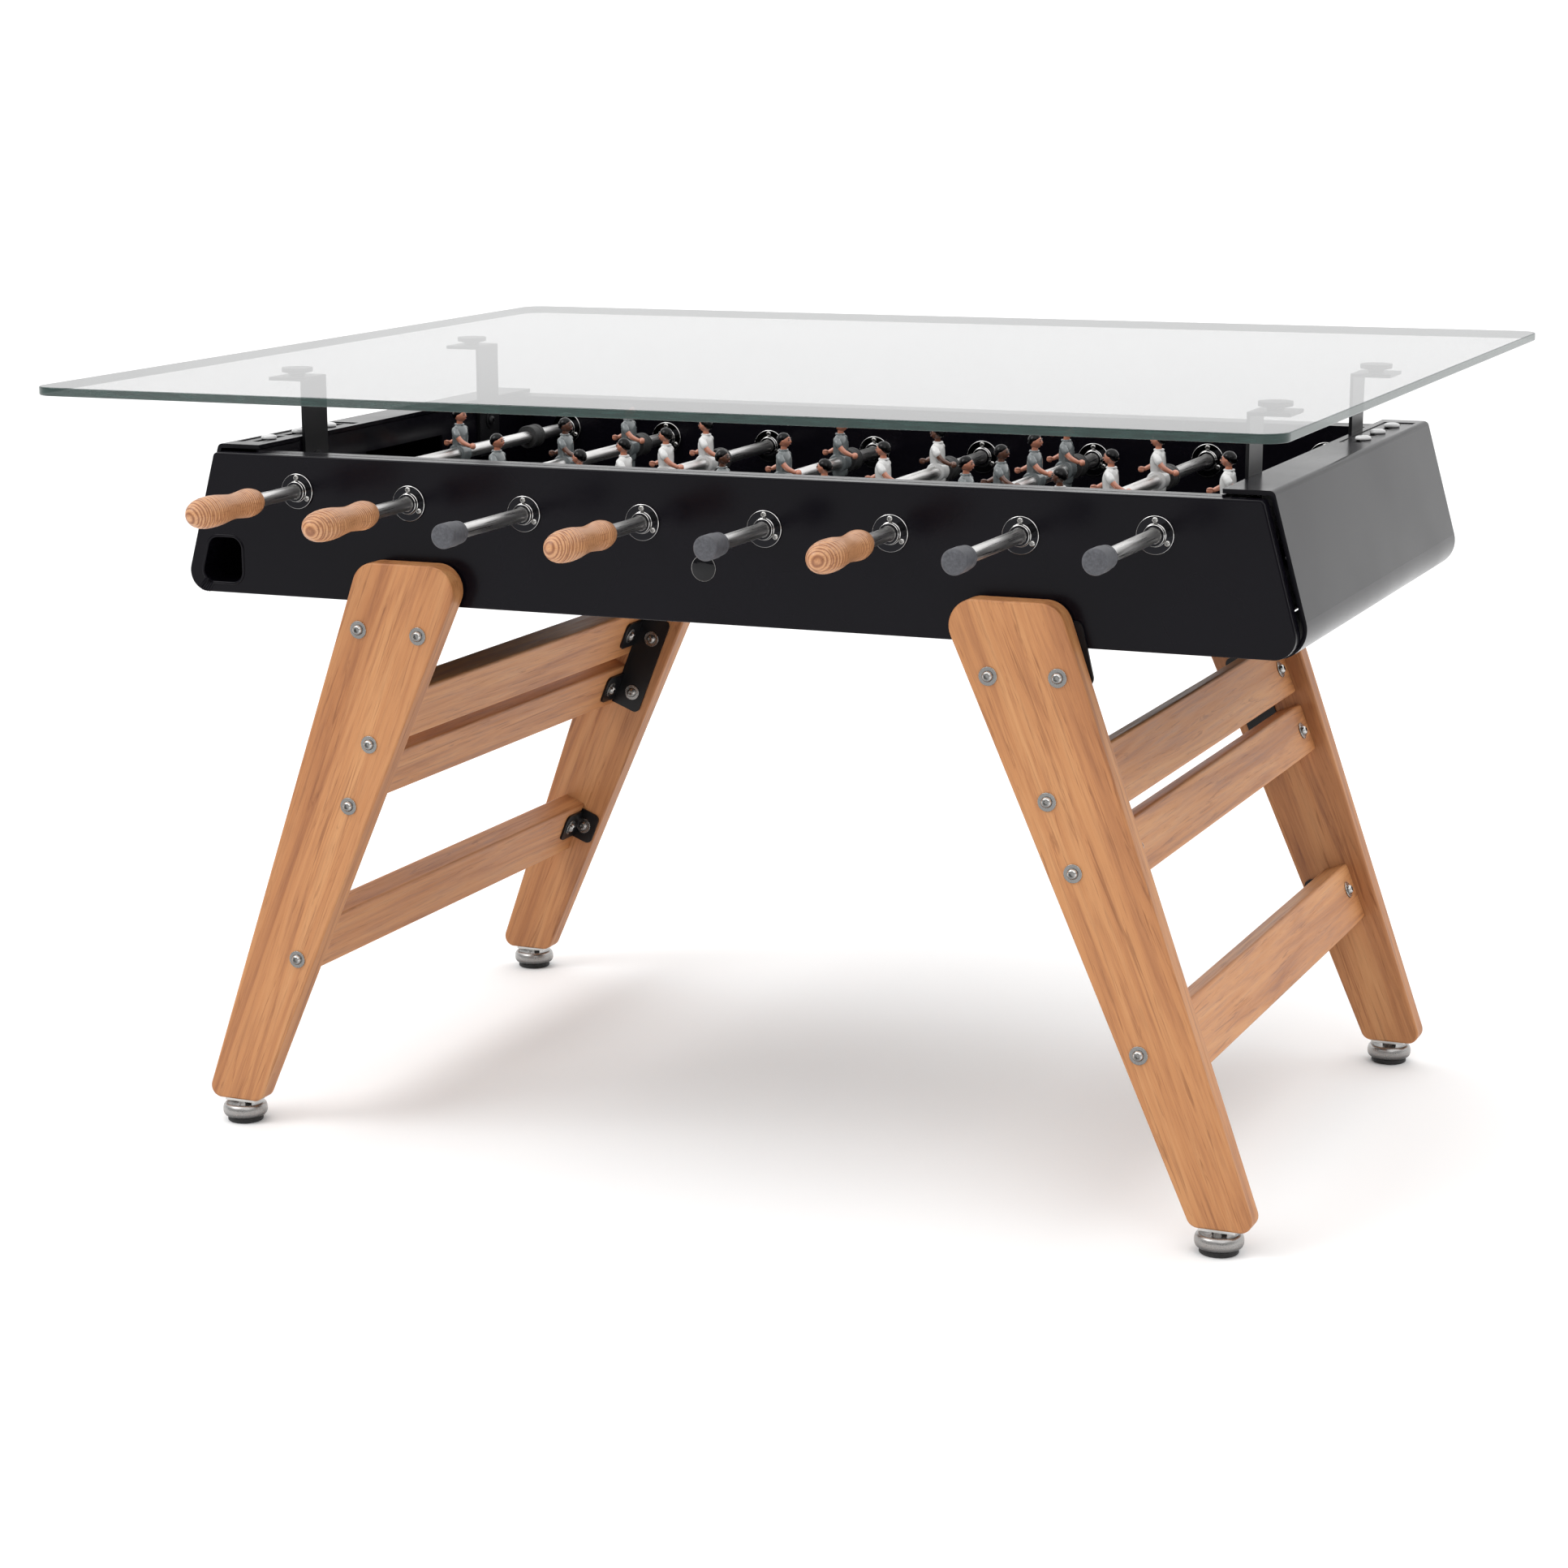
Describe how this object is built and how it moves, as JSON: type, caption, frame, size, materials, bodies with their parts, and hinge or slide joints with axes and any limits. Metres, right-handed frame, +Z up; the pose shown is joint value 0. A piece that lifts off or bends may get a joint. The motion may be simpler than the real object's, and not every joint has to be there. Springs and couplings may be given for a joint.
{
  "type": "foosball table",
  "caption": "Foosball table with a glass dining top, turned handles on sliding and spinning rods with players, a folded metal body and leaning wooden legs on levelling feet.",
  "frame": {"origin": "on the floor, below the middle of the table", "axes": "+X along the table from one goal to the other, +Y across it along the rods, +Z up"},
  "size_m": [1.449, 1.254, 0.923],
  "materials": {
    "black_coat": "satin",
    "playfield": "satin",
    "bracket_coat": "satin",
    "chrome_bearing": "polished",
    "stainless_screws": "satin",
    "rod_steel": "satin",
    "satin_steel": "satin",
    "teak": "oiled",
    "turned_wood": "varnished",
    "black_rubber": "matte",
    "grey_players": "gloss",
    "white_players": "gloss",
    "knob_plastic": "gloss",
    "glass": "clear"
  },
  "bodies": {
    "table": {"front_side_panel": "black_coat", "back_side_panel": "black_coat", "left_end_cap": "black_coat", "right_end_cap": "black_coat", "inner_walls": "black_coat", "playfield": "playfield", "base_pan": "black_coat", "bearings": "chrome_bearing", "fasteners": "stainless_screws", "leg_front_left": "teak", "leg_back_left": "teak", "leg_front_right": "teak", "leg_back_right": "teak", "rails": "teak", "leg_brackets": "bracket_coat", "glass_top": "glass", "glass_supports": "bracket_coat", "score_plates": "black_coat"},
    "rod_1_carriage": {"rubbers_1": "black_rubber"},
    "rod_1": {"rod_1": "rod_steel", "handle_1": "turned_wood", "players_1": "grey_players"},
    "rod_2_carriage": {"rubbers_2": "black_rubber"},
    "rod_2": {"rod_2": "rod_steel", "handle_2": "turned_wood", "players_2": "grey_players"},
    "rod_3_carriage": {"rubbers_3": "black_rubber"},
    "rod_3": {"rod_3": "rod_steel", "handle_3": "turned_wood", "players_3": "white_players"},
    "rod_4_carriage": {"rubbers_4": "black_rubber"},
    "rod_4": {"rod_4": "rod_steel", "handle_4": "turned_wood", "players_4": "grey_players"},
    "rod_5_carriage": {"rubbers_5": "black_rubber"},
    "rod_5": {"rod_5": "rod_steel", "handle_5": "turned_wood", "players_5": "white_players"},
    "rod_6_carriage": {"rubbers_6": "black_rubber"},
    "rod_6": {"rod_6": "rod_steel", "handle_6": "turned_wood", "players_6": "grey_players"},
    "rod_7_carriage": {"rubbers_7": "black_rubber"},
    "rod_7": {"rod_7": "rod_steel", "handle_7": "turned_wood", "players_7": "white_players"},
    "rod_8_carriage": {"rubbers_8": "black_rubber"},
    "rod_8": {"rod_8": "rod_steel", "handle_8": "turned_wood", "players_8": "white_players"},
    "foot_front_left": {"foot_front_left": "satin_steel"},
    "foot_back_left": {"foot_back_left": "satin_steel"},
    "foot_front_right": {"foot_front_right": "satin_steel"},
    "foot_back_right": {"foot_back_right": "satin_steel"},
    "score_knob_left_1": {"score_knob_left_1": "knob_plastic"},
    "score_knob_left_2": {"score_knob_left_2": "knob_plastic"},
    "score_knob_left_3": {"score_knob_left_3": "knob_plastic"},
    "score_knob_right_1": {"score_knob_right_1": "knob_plastic"},
    "score_knob_right_2": {"score_knob_right_2": "knob_plastic"},
    "score_knob_right_3": {"score_knob_right_3": "knob_plastic"}
  },
  "joints": [
    {"name": "rod_1_push", "type": "slide", "parent": "table", "child": "rod_1_carriage", "axis": [0, 1, 0], "range_m": [-0.088, 0.087]},
    {"name": "rod_1_spin", "type": "hinge", "parent": "rod_1_carriage", "child": "rod_1", "pos_m": [-0.525, 0, 0.78366], "axis": [0, 1, 0], "continuous": true},
    {"name": "rod_2_push", "type": "slide", "parent": "table", "child": "rod_2_carriage", "axis": [0, 1, 0], "range_m": [-0.13, 0.07]},
    {"name": "rod_2_spin", "type": "hinge", "parent": "rod_2_carriage", "child": "rod_2", "pos_m": [-0.375, 0, 0.77599], "axis": [0, 1, 0], "continuous": true},
    {"name": "rod_3_push", "type": "slide", "parent": "table", "child": "rod_3_carriage", "axis": [0, 1, 0], "range_m": [-0.05, 0.15]},
    {"name": "rod_3_spin", "type": "hinge", "parent": "rod_3_carriage", "child": "rod_3", "pos_m": [-0.225, 0, 0.77088], "axis": [0, 1, 0], "continuous": true},
    {"name": "rod_4_push", "type": "slide", "parent": "table", "child": "rod_4_carriage", "axis": [0, 1, 0], "range_m": [-0.13, 0.07]},
    {"name": "rod_4_spin", "type": "hinge", "parent": "rod_4_carriage", "child": "rod_4", "pos_m": [-0.075, 0, 0.76832], "axis": [0, 1, 0], "continuous": true},
    {"name": "rod_5_push", "type": "slide", "parent": "table", "child": "rod_5_carriage", "axis": [0, 1, 0], "range_m": [-0.085, 0.115]},
    {"name": "rod_5_spin", "type": "hinge", "parent": "rod_5_carriage", "child": "rod_5", "pos_m": [0.075, 0, 0.76832], "axis": [0, 1, 0], "continuous": true},
    {"name": "rod_6_push", "type": "slide", "parent": "table", "child": "rod_6_carriage", "axis": [0, 1, 0], "range_m": [-0.142, 0.058]},
    {"name": "rod_6_spin", "type": "hinge", "parent": "rod_6_carriage", "child": "rod_6", "pos_m": [0.225, 0, 0.77088], "axis": [0, 1, 0], "continuous": true},
    {"name": "rod_7_push", "type": "slide", "parent": "table", "child": "rod_7_carriage", "axis": [0, 1, 0], "range_m": [-0.038, 0.162]},
    {"name": "rod_7_spin", "type": "hinge", "parent": "rod_7_carriage", "child": "rod_7", "pos_m": [0.375, 0, 0.77599], "axis": [0, 1, 0], "continuous": true},
    {"name": "rod_8_push", "type": "slide", "parent": "table", "child": "rod_8_carriage", "axis": [0, 1, 0], "range_m": [-0.015, 0.16]},
    {"name": "rod_8_spin", "type": "hinge", "parent": "rod_8_carriage", "child": "rod_8", "pos_m": [0.525, 0, 0.78366], "axis": [0, 1, 0], "continuous": true},
    {"name": "foot_front_left_turn", "type": "hinge", "parent": "table", "child": "foot_front_left", "pos_m": [-0.622, -0.397, 0], "axis": [0, 0, 1], "continuous": true},
    {"name": "foot_back_left_turn", "type": "hinge", "parent": "table", "child": "foot_back_left", "pos_m": [-0.622, 0.397, 0], "axis": [0, 0, 1], "continuous": true},
    {"name": "foot_front_right_turn", "type": "hinge", "parent": "table", "child": "foot_front_right", "pos_m": [0.622, -0.397, 0], "axis": [0, 0, 1], "continuous": true},
    {"name": "foot_back_right_turn", "type": "hinge", "parent": "table", "child": "foot_back_right", "pos_m": [0.622, 0.397, 0], "axis": [0, 0, 1], "continuous": true},
    {"name": "score_knob_left_1_slide", "type": "slide", "parent": "table", "child": "score_knob_left_1", "axis": [0, 1, 0], "range_m": [-0.024, 0.024]},
    {"name": "score_knob_left_2_slide", "type": "slide", "parent": "table", "child": "score_knob_left_2", "axis": [0, 1, 0], "range_m": [-0.024, 0.024]},
    {"name": "score_knob_left_3_slide", "type": "slide", "parent": "table", "child": "score_knob_left_3", "axis": [0, 1, 0], "range_m": [-0.024, 0.024]},
    {"name": "score_knob_right_1_slide", "type": "slide", "parent": "table", "child": "score_knob_right_1", "axis": [0, 1, 0], "range_m": [-0.024, 0.024]},
    {"name": "score_knob_right_2_slide", "type": "slide", "parent": "table", "child": "score_knob_right_2", "axis": [0, 1, 0], "range_m": [-0.024, 0.024]},
    {"name": "score_knob_right_3_slide", "type": "slide", "parent": "table", "child": "score_knob_right_3", "axis": [0, 1, 0], "range_m": [-0.024, 0.024]}
  ]
}
